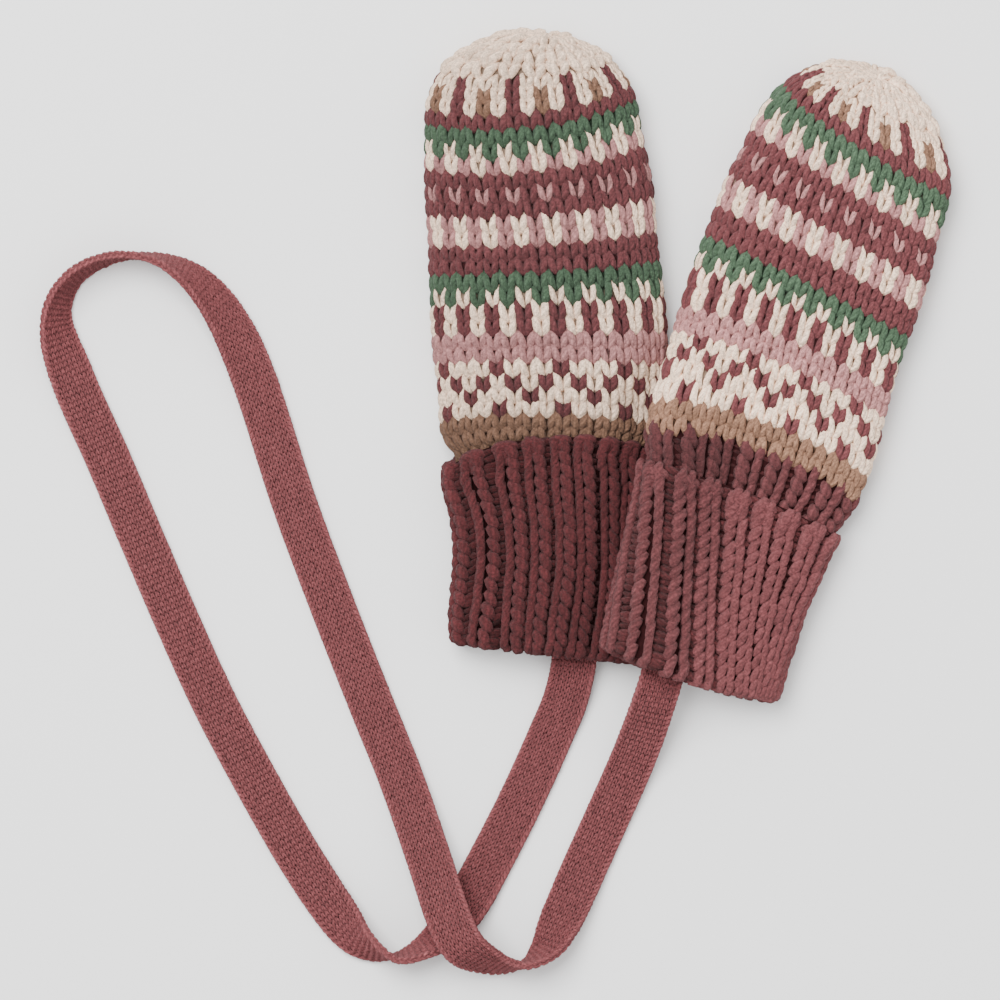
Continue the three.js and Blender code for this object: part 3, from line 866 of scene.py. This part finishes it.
def leg_lines(mitten, stitches, legs, sizes, rng):
    """The yarn lines of one leg of each stitch of a hand."""
    wale, course, group, _, drawn = (stitches[:, i, None] for i in range(5))
    radius = sizes.yarn_radius / MM
    shift = rng.normal(0, sizes.jitter, (len(stitches), 2, 1))
    across = np.array(legs)[None] + shift[:, 0]
    up = np.array(LEG_UP)[None] + shift[:, 1]
    at = course + up
    share = wale_share(mitten, course + 0 * up, wale + across * group, sizes.wales)
    sides = wale_share(mitten, course, wale + np.array([-0.5, 0.5]) * group, sizes.wales)
    edges = hand_point(mitten, sides, course + 0.5 + 0 * sides, HAND_WALL)
    width = np.linalg.norm(edges[:, 1:] - edges[:, :1], axis=-1)
    scale = np.clip(width / FULL_STITCH, 0.4, 1.35)
    girths = drawn * radius * scale * np.array(LEG_GIRTH) * rng.normal(1, 0.05, (len(stitches), 1))
    height = sizes.datum / MM + np.array(LEG_HEIGHT) * scale + rng.normal(0, 0.07, (len(stitches), 1))
    return yarn_lines(hand_point, mitten, share, at, height, girths, 0.8)


def knit_hand(mitten, sizes, colours):
    """One hand: its cloth, and its front stitches in a piece for each yarn."""
    name = mitten["name"]
    rng = np.random.default_rng(mitten["seed"])
    stitches = hand_stitches(mitten, sizes)
    pieces = []
    for letter, yarn in YARN_NAMES.items():
        own = stitches[stitches[:, 3] == ord(letter)]
        parts = [leg_lines(mitten, own, legs, sizes, rng) for legs in (LEG_LEFT, LEG_RIGHT)]
        # A hand's yarns are painted lighter or darker by its light, as painted light and shade.
        # The cream is near white, so it changes less than the dyed yarns.
        light = np.interp(own[:, 1], (0, 7), mitten["light"]) ** (0.6 if yarn == "cream" else 1)
        tones = np.tile(light * rng.normal(1, 0.05, len(own)), 2)
        finish = material("wool_spun_" + yarn, wool_yarn, getattr(colours, yarn), 0.7, 0.6)
        pieces.append(strand_piece(
            f"{name}_hand_{yarn}", parts, 6, tones, PLY_TURN, finish,
        ))
    wales = np.arange(CLOTH_ROUND) * sizes.wales / CLOTH_ROUND
    courses = np.linspace(mitten["first"] + 0.15, len(CHART), 49)
    wale, course = np.meshgrid(wales, courses)
    share = wale_share(mitten, course, wale, sizes.wales)
    outer = hand_point(mitten, share, course, 1.0, 0.3)
    inner = hand_point(mitten, share[:-1], course[:-1], 0.05, 0.3)
    points = np.concatenate([inner[::-1], outer])
    # The cloth is painted in its yarns' colours, darkened as painted shade between the stitches and by the
    # hand's painted light.
    palette = {
        letter: (*(HAND_CLOTH_LIGHT * mitten["light"][1] * np.array(getattr(colours, yarn))), 1)
        for letter, yarn in YARN_NAMES.items()
    }
    which = np.round(wale).astype(int) % REPEAT
    rows = np.clip(course.astype(int), 0, len(CHART) - 1)
    shades = np.array([[palette[CHART[r][w].upper()] for r, w in zip(*line)] for line in zip(rows, which)])
    shades = np.concatenate([shades[:-1][::-1], shades])
    cloth = shell_piece(f"{name}_hand_cloth", points, False, shades)
    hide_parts(f"{name}_hand")
    return cloth, pieces


def rib_rows(mitten, place, ribs, row, rng):
    """Where each row of a rib starts, how far down the turn-up it is, and which way it faces."""
    outside, fold, inside = (np.ravel(part)[0] for part in cuff_lengths(mitten, place / ribs))
    angle = angle_at(place[:1] / ribs)
    showing = (row_at(mitten["seam"], angle) - row_at(mitten["brim"], angle))[0] + 4
    turned = np.arange(int((outside + fold + 14) / row)) * row
    above = outside + fold + inside + 0.9 - np.arange(1, max(0, int(showing / row)) + 3) * row
    starts = np.concatenate([turned, above])[:, None]
    down = np.concatenate([turned / outside, 0 * above])[:, None]
    facing = np.concatenate([1 + 0 * turned, -1 + 0 * above])[:, None]
    return starts + 0.5 + rng.normal(0, 0.12, starts.shape), down, facing


def rib_light(mitten, middle):
    """How light a rib is painted, by its place round the cuff, as painted shade on its left ribs."""
    return 1 - mitten["dim"] * smooth((middle - DIM_START) / DIM_RUN)


def knit_cuff(mitten, sizes, colours):
    """One cuff: its cloth, the rib's stitches where they show, and the brim's edge."""
    name = mitten["name"]
    rng = np.random.default_rng(mitten["seed"] + 1)
    yarn = mitten["cuff_yarn"]
    rose = getattr(colours, yarn)
    finish = material("wool_spun_" + yarn, wool_yarn, rose, 0.7, 0.7)
    # The purl bars' wool is painted redder and darker, as painted shade deep between the ribs.
    deep = material(f"wool_spun_{yarn}_shaded", wool_yarn, shaded_red(rose, 1), 0.7, 0.7)
    row = sizes.row / MM
    ribs = sizes.ribs
    side = mitten["rope_side"]
    bar = np.arange(6) / 5
    bow = np.sin(math.pi * bar)
    places = rib_places(mitten, ribs)
    spans = (np.roll(places, -1, 0) - np.roll(places, 1, 0)) % ribs / 2
    groups = {"rib": [], "purl": []}
    for place, span in zip(places, spans):
        starts, down, facing = rib_rows(mitten, place, ribs, row, rng)
        swept = mitten["sweep"] * smooth((down - 0.93) / 0.2)
        middle = part_way(place, down) + swept + rng.normal(0, 0.015, starts.shape)
        wide = part_way(span, down)
        size = np.clip(wide, 0.55, 1.12) ** 0.7
        # A knit column has one plump leg, whose stitches lean, and one straight leg.
        plump = rng.normal(1, 0.05, starts.shape) * size * sizes.rope_radius / MM
        plain = rng.normal(1, 0.04, starts.shape) * size * sizes.ridge_radius / MM
        gather = 0.045 * (1 - smooth(starts / 7))
        # Above the brim the cuff's inner layer shows, with the ribs' other face out, painted darker
        # as painted shade under the turn-up.
        under = facing < 0
        bead = np.where(under, 1.0, mitten["bead"] * (1 - 0.6 * smooth((down - 0.88) / 0.12)))
        light = np.where(under, INNER_LAYER_LIGHT, 1) * rib_light(mitten, middle)
        waved = np.where(under, 2.2, 1.2)
        groups["rib"].append((
            middle + side * (0.2 - gather) * wide - side * bead * ROPE_LEAN,
            starts + row * (bar * 1.5 - 0.25),
            RIB_DEPTH + facing * (bead * ROPE_HEIGHT + rng.normal(0, 0.07, starts.shape)),
            plump * (0.8 + 0.2 * bead) * (1 - bead * (1 - ROPE_GIRTH)),
            light,
        ))
        groups["rib"].append((
            middle - side * (0.22 - gather) * wide + side * RIDGE_LEAN,
            starts + row * (bar * 1.6 - 0.3),
            RIB_DEPTH + facing * (waved * RIDGE_HEIGHT + rng.normal(0, 0.05, starts.shape)),
            plain * RIDGE_GIRTH,
            light,
        ))
        sunk = 1.5 - 0.7 * np.clip(wide - 1, -0.4, 0.4)
        # The purl bars lie sunk between the ribs, and are painted darker as painted shade there.
        for lift, reach in ((0.05, 0.6), (0.55, 0.46)):
            slope = rng.normal(0, 0.5, starts.shape) * (0.5 - bar)
            uneven = rng.normal(1, 0.14, starts.shape)
            groups["purl"].append((
                middle - 0.5 * wide + reach * wide * (0.5 - bar) + rng.normal(0, 0.04, starts.shape),
                starts + row * lift + 0.4 * bow + slope + rng.normal(0, 0.2, starts.shape),
                RIB_DEPTH + facing * (0.5 * bow - sunk + rng.normal(0, 0.12, starts.shape)),
                uneven * np.clip(wide, 0.6, 1.2) * PURL_GIRTH,
                PURL_LIGHT * uneven * light,
            ))
    pieces = []
    for label, sides, wool in (("rib", 6, finish), ("purl", 4, deep)):
        shares, runs, heights, girths, light = (np.concatenate(part) for part in zip(*groups[label]))
        part = yarn_lines(cuff_point, mitten, shares / ribs, runs, heights, girths, 0.6)
        tones = light[:, 0] * rng.normal(1, 0.06, len(light))
        pieces.append(strand_piece(
            f"{name}_cuff_{label}", [part], sides, tones, PLY_TURN, wool,
        ))
    pieces.append(cast_on_edge(mitten, sizes, finish, rng))
    return cuff_cloth(mitten, rose), pieces


def cast_on_edge(mitten, sizes, finish, rng):
    """The brim's edge: over each rib a cast-on loop, plumped out by the first stitches."""
    bar = np.linspace(-1, 1, 9)[None]
    ribs = sizes.ribs
    middle = rib_places(mitten, ribs)[:, :1]
    wide = (np.roll(middle, -1, 0) - np.roll(middle, 1, 0)) % ribs / 2
    arch = mitten["edge"] + 1.5 - 0.9 * np.sqrt(np.maximum(0, 1 - bar * bar))
    down = mitten["edge"] + 1.2 + 2.1 * (bar + 1)
    lines = (
        (middle - 0.42 * wide * bar, arch, -1.6 - 1.0 * bar ** 4, 1.5 * (1.04 - bar * bar) ** 0.28),
        (middle + 0 * bar, down, -1.7 - 0.4 * (bar + 1), 1.55 - 0.35 * (bar + 1)),
        (middle - 0.2 * wide + 0.02 * bar, down, -1.7 - 0.1 * (bar + 1), 1.5 - 0.12 * (bar + 1)),
        (middle + 0.2 * wide - 0.02 * bar, down, -1.7 - 0.1 * (bar + 1), 1.5 - 0.12 * (bar + 1)),
    )
    parts = []
    for places, runs, heights, girths in lines:
        runs = runs + rng.normal(0, 0.2, (ribs, 1))
        heights = heights + rng.normal(0, 0.06, (ribs, 1))
        girths = np.clip(wide, 0.6, 1.1) * np.maximum(girths, 0.5) * rng.normal(1, 0.03, (ribs, 1))
        parts.append(yarn_lines(cuff_point, mitten, places / ribs, runs, heights, girths, 0.6))
    # The loops are painted darker on the cuff's left, as painted shade, as its ribs are.
    light = np.where(middle < 12, rib_light(mitten, middle), 1)
    tones = np.tile(light[:, 0], len(lines)) * rng.normal(1, 0.05, len(lines) * ribs)
    return strand_piece(f"{mitten['name']}_cuff_edge", parts, 7, tones, PLY_TURN, finish)


def cuff_cloth(mitten, rose):
    """The cuff's own cloth, which goes down outside, round the fold and up inside to the seam."""
    name = mitten["name"]
    share = (np.arange(CLOTH_ROUND) / CLOTH_ROUND)[None]
    outside, round_fold, inside = cuff_lengths(mitten, share)
    steps = np.concatenate([
        np.linspace(0, 1, 12)[:, None] * outside,
        outside + round_fold * np.linspace(0, 1, 8)[1:, None],
        outside + round_fold + (inside + 1.5) * np.linspace(0, 1, 12)[1:, None],
    ])
    past = steps - outside - round_fold
    depth = 2.35 - 1.7 * smooth((past - 12) / 6)
    face = cuff_point(mitten, share + 0 * steps, steps, -depth, 0.5)
    back = cuff_point(mitten, share + 0 * steps, steps, -depth - 0.6, 0.8)
    points = np.concatenate([face, back[::-1]])
    # The cloth is painted in the rose's redder colour, darkened as painted shade between the ribs.
    shades = np.broadcast_to([*shaded_red(rose, CUFF_CLOTH_LIGHT), 1], (*points.shape[:2], 4))
    cloth = shell_piece(f"{name}_cuff_cloth", points, True, shades)
    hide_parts(f"{name}_cuff")
    return cloth


class TapeLine:
    """The cord's middle line with its across and up directions, by length along it in mm."""

    def __init__(self, per_span=12):
        spans = len(ROUTE) - 1
        at = np.arange(spans * per_span + 1) / per_span
        i = np.minimum(at.astype(int), spans - 1)
        t = (at - i)[:, None]
        rows = np.vstack([2 * ROUTE[0] - ROUTE[1], ROUTE, 2 * ROUTE[-1] - ROUTE[-2]])
        p0, p1, p2, p3 = (rows[i + k] for k in range(4))
        bend = (2 * p0 - 5 * p1 + 4 * p2 - p3) * t * t + (3 * p1 - p0 - 3 * p2 + p3) * t ** 3
        value = p1 + 0.5 * ((p2 - p0) * t + bend)
        turn = np.radians(value[:, 2])
        standing = (TAPE_WIDTH * np.abs(np.sin(turn)) + TAPE_THICKNESS * np.abs(np.cos(turn))) / 2
        self.middle = np.stack([value[:, 0], value[:, 1], standing + np.maximum(0, value[:, 3])], -1)
        ahead = unit(np.gradient(self.middle, axis=0))
        level = unit(np.cross((0, 0, 1), ahead))
        raised = np.cross(ahead, level)
        c = np.cos(turn)[:, None]
        s = np.sin(turn)[:, None]
        self.wide = level * c + raised * s
        self.thick = raised * c - level * s
        steps = np.linalg.norm(np.diff(self.middle, axis=0), axis=1)
        self.at = np.concatenate([[0], np.cumsum(steps)])
        self.length = self.at[-1]

    def value(self, rows, along):
        return np.stack([np.interp(along, self.at, rows[:, k]) for k in range(3)], -1)

    def point(self, along, across, high):
        """A point of the cord in mm, and the directions across it and out of its face."""
        wide = unit(self.value(self.wide, along))
        thick = unit(self.value(self.thick, along))
        middle = self.value(self.middle, along)
        return middle + wide * across[..., None] + thick * high[..., None], thick


def knit_cord(sizes, colours):
    """The cord: a thin tape, the fine stitches of both its faces, and its rounded edges."""
    line = TapeLine()
    rng = np.random.default_rng(CORD_SEED)
    finish = material("wool_spun_fine_rose", wool_yarn, colours.cord, 0.6, 0.3)
    radius = sizes.yarn_radius / MM
    wale = sizes.wale / MM
    rows = int(line.length / (sizes.row / MM))
    row = line.length / rows
    wales = int((TAPE_WIDTH - 0.4) / wale)
    for face, label in ((1, "front"), (-1, "back")):
        r, w = np.meshgrid(np.arange(rows), np.arange(wales) - (wales - 1) / 2, indexing="ij")
        r = r.reshape(-1, 1)
        w = w.reshape(-1, 1)
        shift = rng.normal(0, 0.05, (2, len(r), 1))
        along = (r + 0.3 + np.array([-0.3, 0.4, 1.12]) + shift[0]) * row
        parts = []
        for legs in ((0.0, -0.26, -0.38), (0.1, 0.32, 0.4)):
            across = (w + np.array(legs) + 0.5 * shift[1]) * wale
            high = face * (0.56 + np.array([-0.25, 0.1, -0.35]) + rng.normal(0, 0.03, (len(r), 1)))
            centres, thick = line.point(along, across, high)
            girths = radius * np.array([0.62, 1.0, 0.5]) * rng.normal(1, 0.06, (len(r), 1))
            parts.append((centres, thick * face, girths))
        tones = rng.normal(1, 0.07, 2 * len(r))
        strand_piece(
            f"cord_stitches_{label}", parts, 4, tones, FINE_PLY_TURN, finish,
        )
    side = np.array([[-1.0], [1.0]])
    along = np.arange(rows * 2 + 1) * line.length / (rows * 2) + 0 * side
    centres, thick = line.point(along, side * (TAPE_WIDTH / 2 - 0.9) + 0 * along, 0 * along)
    parts = [(centres, thick, np.full(along.shape, 0.62))]
    strand_piece(
        "cord_edges", parts, 6, np.array([0.8, 0.8]), 1.5 * FINE_PLY_TURN, finish,
    )
    # Each row ends in a stitch that slants out over the edge, first on one face, then on the other.
    r = np.arange(rows)[:, None]
    parts = []
    for side in (-1, 1):
        for face in (-1, 1):
            along = (r + 0.25 * face + np.array([-0.2, 0.3, 0.8, 1.2]) + rng.normal(0, 0.05, r.shape)) * row
            across = side * (TAPE_WIDTH / 2 - np.array([1.4, 0.9, 0.48, 0.45])) + 0 * along
            high = face * (np.array([0.35, 0.75, 0.52, -0.1]) + rng.normal(0, 0.04, r.shape))
            centres, thick = line.point(along, across, high)
            girths = 0.46 * np.array([0.6, 1.0, 1.0, 0.6]) * rng.normal(1, 0.06, r.shape)
            parts.append((centres, thick * face, girths))
    tones = rng.normal(1.25, 0.09, 4 * rows)
    strand_piece("cord_selvedge", parts, 4, tones, FINE_PLY_TURN, finish)
    along = np.linspace(0, line.length, 300)
    points = np.stack([
        line.point(along, np.full(300, a), np.full(300, b))[0] for a, b in TAPE_SECTION
    ], 1)
    # The tape is painted in the cord's redder colour, darkened as painted shade between its stitches.
    shades = np.broadcast_to([*shaded_red(colours.cord, CORD_CLOTH_LIGHT), 1], (*points.shape[:2], 4))
    tape = shell_piece("cord_tape", points, False, shades)
    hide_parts("strap")


class MITTENS_OT_stage(bpy.types.Operator):
    """Lays out the table, the softbox and the camera"""

    bl_idname = "mittens.stage"
    bl_label = "Table, light and camera"

    def execute(self, context):
        sizes = context.scene.mitten_stage
        scene = context.scene
        mesh = bpy.data.meshes.new("table")
        corners = [(-6, -6, 0), (6, -6, 0), (6, 6, 0), (-6, 6, 0)]
        mesh.from_pydata(corners, [], [(0, 1, 2, 3)])
        mesh.materials.append(material("emulsion_rolled_white", painted_board, sizes.floor))
        table = bpy.data.objects.new("table", mesh)
        scene.collection.objects.link(table)
        world = bpy.data.worlds.new("studio")
        world.use_nodes = True
        background = world.node_tree.nodes["Background"]
        background.inputs["Color"].default_value = (1, 1, 1, 1)
        background.inputs["Strength"].default_value = 1.25
        scene.world = world
        lamp = bpy.data.lights.new("softbox", "AREA")
        lamp.energy = sizes.key
        lamp.size = 1.1
        light = bpy.data.objects.new("softbox", lamp)
        light.location = (-0.5, 0.55, 1.5)
        aim = Vector((-0.05, -0.03, 0)) - light.location
        light.rotation_euler = aim.to_track_quat("-Z", "Y").to_euler()
        scene.collection.objects.link(light)
        lens = bpy.data.cameras.new("camera")
        lens.sensor_width = 36
        # The picture's width is measured half way up the mittens, 8 mm above the table.
        lens.lens = lens.sensor_width * (sizes.height - 8 * MM) / sizes.width
        lens.clip_end = 50
        camera = bpy.data.objects.new("camera", lens)
        camera.location = (-0.0509, -0.0363, sizes.height)
        scene.collection.objects.link(camera)
        scene.camera = camera
        return {"FINISHED"}


class MITTENS_OT_cord(bpy.types.Operator):
    """Knits the flat cord that joins the mittens"""

    bl_idname = "mittens.cord"
    bl_label = "Cord"

    def execute(self, context):
        knit_cord(context.scene.mitten_cord, context.scene.mitten_yarns)
        return {"FINISHED"}


class MITTENS_OT_hands(bpy.types.Operator):
    """Knits both hands in their bands of five yarns"""

    bl_idname = "mittens.hands"
    bl_label = "Hands"

    def execute(self, context):
        for mitten in (LEFT, RIGHT):
            cloth, pieces = knit_hand(mitten, context.scene.mitten_hands, context.scene.mitten_yarns)
        return {"FINISHED"}


class MITTENS_OT_cuffs(bpy.types.Operator):
    """Knits both cuffs in rib, folded up over themselves"""

    bl_idname = "mittens.cuffs"
    bl_label = "Cuffs"

    def execute(self, context):
        for mitten in (LEFT, RIGHT):
            cloth, pieces = knit_cuff(mitten, context.scene.mitten_cuffs, context.scene.mitten_yarns)
        return {"FINISHED"}


class MITTENS_PT_panel(bpy.types.Panel):
    """Sizes, colours and steps of the mittens"""

    bl_idname = "MITTENS_PT_panel"
    bl_label = "Baby mittens"
    bl_space_type = "VIEW_3D"
    bl_region_type = "UI"
    bl_category = "Mittens"

    def draw(self, context):
        for key, (label, group, operator) in GROUPS.items():
            box = self.layout.box()
            box.label(text=label)
            for field in group.__annotations__:
                box.prop(getattr(context.scene, key), field)
            if operator:
                box.operator(operator)


# Each group's place on the scene, its label and class, and the operator that its values are for.
GROUPS = {
    "mitten_yarns": ("Yarns", YarnColours, None),
    "mitten_hands": ("Hands", HandSizes, "mittens.hands"),
    "mitten_cuffs": ("Cuffs", CuffSizes, "mittens.cuffs"),
    "mitten_cord": ("Cord", CordSizes, "mittens.cord"),
    "mitten_stage": ("Stage", StageSizes, "mittens.stage"),
}
CLASSES = (
    *(group for _, group, _ in GROUPS.values()),
    MITTENS_OT_stage,
    MITTENS_OT_cord,
    MITTENS_OT_hands,
    MITTENS_OT_cuffs,
    MITTENS_PT_panel,
)


def register():
    for cls in CLASSES:
        bpy.utils.register_class(cls)
    for key, (_, group, _) in GROUPS.items():
        setattr(bpy.types.Scene, key, bpy.props.PointerProperty(type=group))


def unregister():
    for key in GROUPS:
        delattr(bpy.types.Scene, key)
    for cls in reversed(CLASSES):
        bpy.utils.unregister_class(cls)


def main():
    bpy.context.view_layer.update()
    register()
    bpy.ops.mittens.stage()
    bpy.ops.mittens.cord()
    bpy.ops.mittens.hands()
    bpy.ops.mittens.cuffs()


if __name__ == "__main__":
    main()
